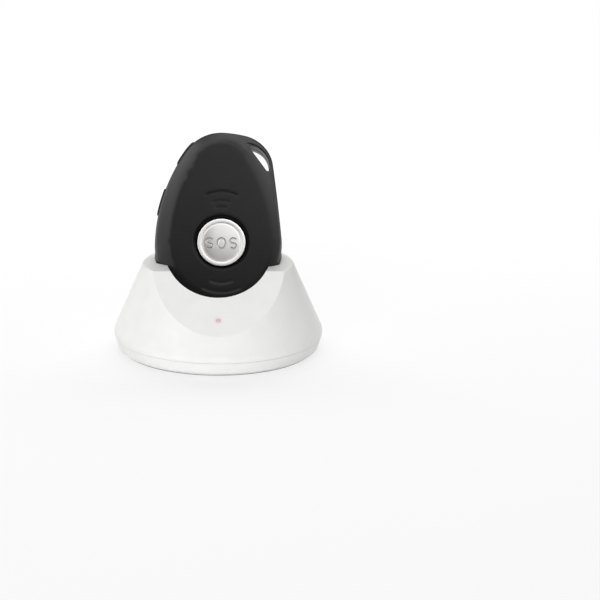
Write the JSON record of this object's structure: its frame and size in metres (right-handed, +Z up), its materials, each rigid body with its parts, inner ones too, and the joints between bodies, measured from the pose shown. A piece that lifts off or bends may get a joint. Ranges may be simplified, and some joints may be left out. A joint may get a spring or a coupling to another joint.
{
  "type": "pendant gps tracker in its charging dock",
  "caption": "Egg-shaped pendant tracker with a large round call button and strap slot, leaning in a conical desktop charging dock.",
  "frame": {"origin": "on the table, on the dock's axis", "axes": "+Z up, the call button and the dock's facet face -Y, +X to the viewer's right"},
  "size_m": [0.0728, 0.0728, 0.0723],
  "materials": {
    "black_housing": "soft satin black moulding",
    "silicone": "matte",
    "satin_button": "satin silver",
    "inner_plastic": "matte",
    "switch_steel": "drawn",
    "key_rubber": "satin black",
    "circuit_board": "solder mask",
    "battery_pouch": "foil pouch",
    "aerial_ceramic": "ceramic",
    "card_plastic": "plain card",
    "gold_contact": "gold plate",
    "screw_steel": "dark zinc",
    "white_dock": "satin white moulding",
    "foot_rubber": "matte grey",
    "plate_steel": "zinc plated",
    "led_resin": "clear",
    "red_lens": "translucent red"
  },
  "bodies": {
    "dock_and_tracker": {"front_housing": "black_housing", "rear_housing": "black_housing", "housing_gasket": "silicone", "call_button_seal": "silicone", "call_switch": "switch_steel", "side_switches": "switch_steel", "main_board": "circuit_board", "battery": "battery_pouch", "battery_pad": "silicone", "modem_module": "switch_steel", "satellite_patch": "aerial_ceramic", "network_aerial": "inner_plastic", "sim_holder": "switch_steel", "sim_card": "card_plastic", "speaker": "switch_steel", "microphone": "switch_steel", "vibration_motor": "switch_steel", "charge_contacts": "gold_contact", "housing_screws": "screw_steel", "pin_barrels": "gold_contact", "pin_carrier": "inner_plastic", "dock_shell": "white_dock", "dock_base": "white_dock", "foot_ring": "foot_rubber", "weight_plate": "plate_steel", "dock_board": "circuit_board", "dock_led": "led_resin", "light_guide": "red_lens", "usb_socket": "switch_steel", "dock_screws": "screw_steel"},
    "call_button": {"call_button_cap": "satin_button", "call_button_plunger": "inner_plastic"},
    "lower_key": {"side_key_lower": "key_rubber"},
    "upper_key": {"side_key_upper": "key_rubber"},
    "charging_pins": {"spring_pins": "gold_contact"}
  },
  "joints": [
    {"name": "call_button_press", "type": "slide", "parent": "dock_and_tracker", "child": "call_button", "axis": [0, 0.9063, -0.4226], "range_m": [0, 0.0004], "stiffness_N_per_m": 1500, "springref_m": -0.0005},
    {"name": "lower_key_press", "type": "slide", "parent": "dock_and_tracker", "child": "lower_key", "axis": [0.9611, -0.1167, -0.2502], "range_m": [0, 0.0003], "stiffness_N_per_m": 1500, "springref_m": -0.0004},
    {"name": "upper_key_press", "type": "slide", "parent": "dock_and_tracker", "child": "upper_key", "axis": [0.8265, -0.2379, -0.5102], "range_m": [0, 0.0003], "stiffness_N_per_m": 1500, "springref_m": -0.0004},
    {"name": "charging_pins_press", "type": "slide", "parent": "dock_and_tracker", "child": "charging_pins", "axis": [0, 0.9063, -0.4226], "range_m": [0, 0.0005], "stiffness_N_per_m": 1000, "springref_m": -0.0007}
  ]
}
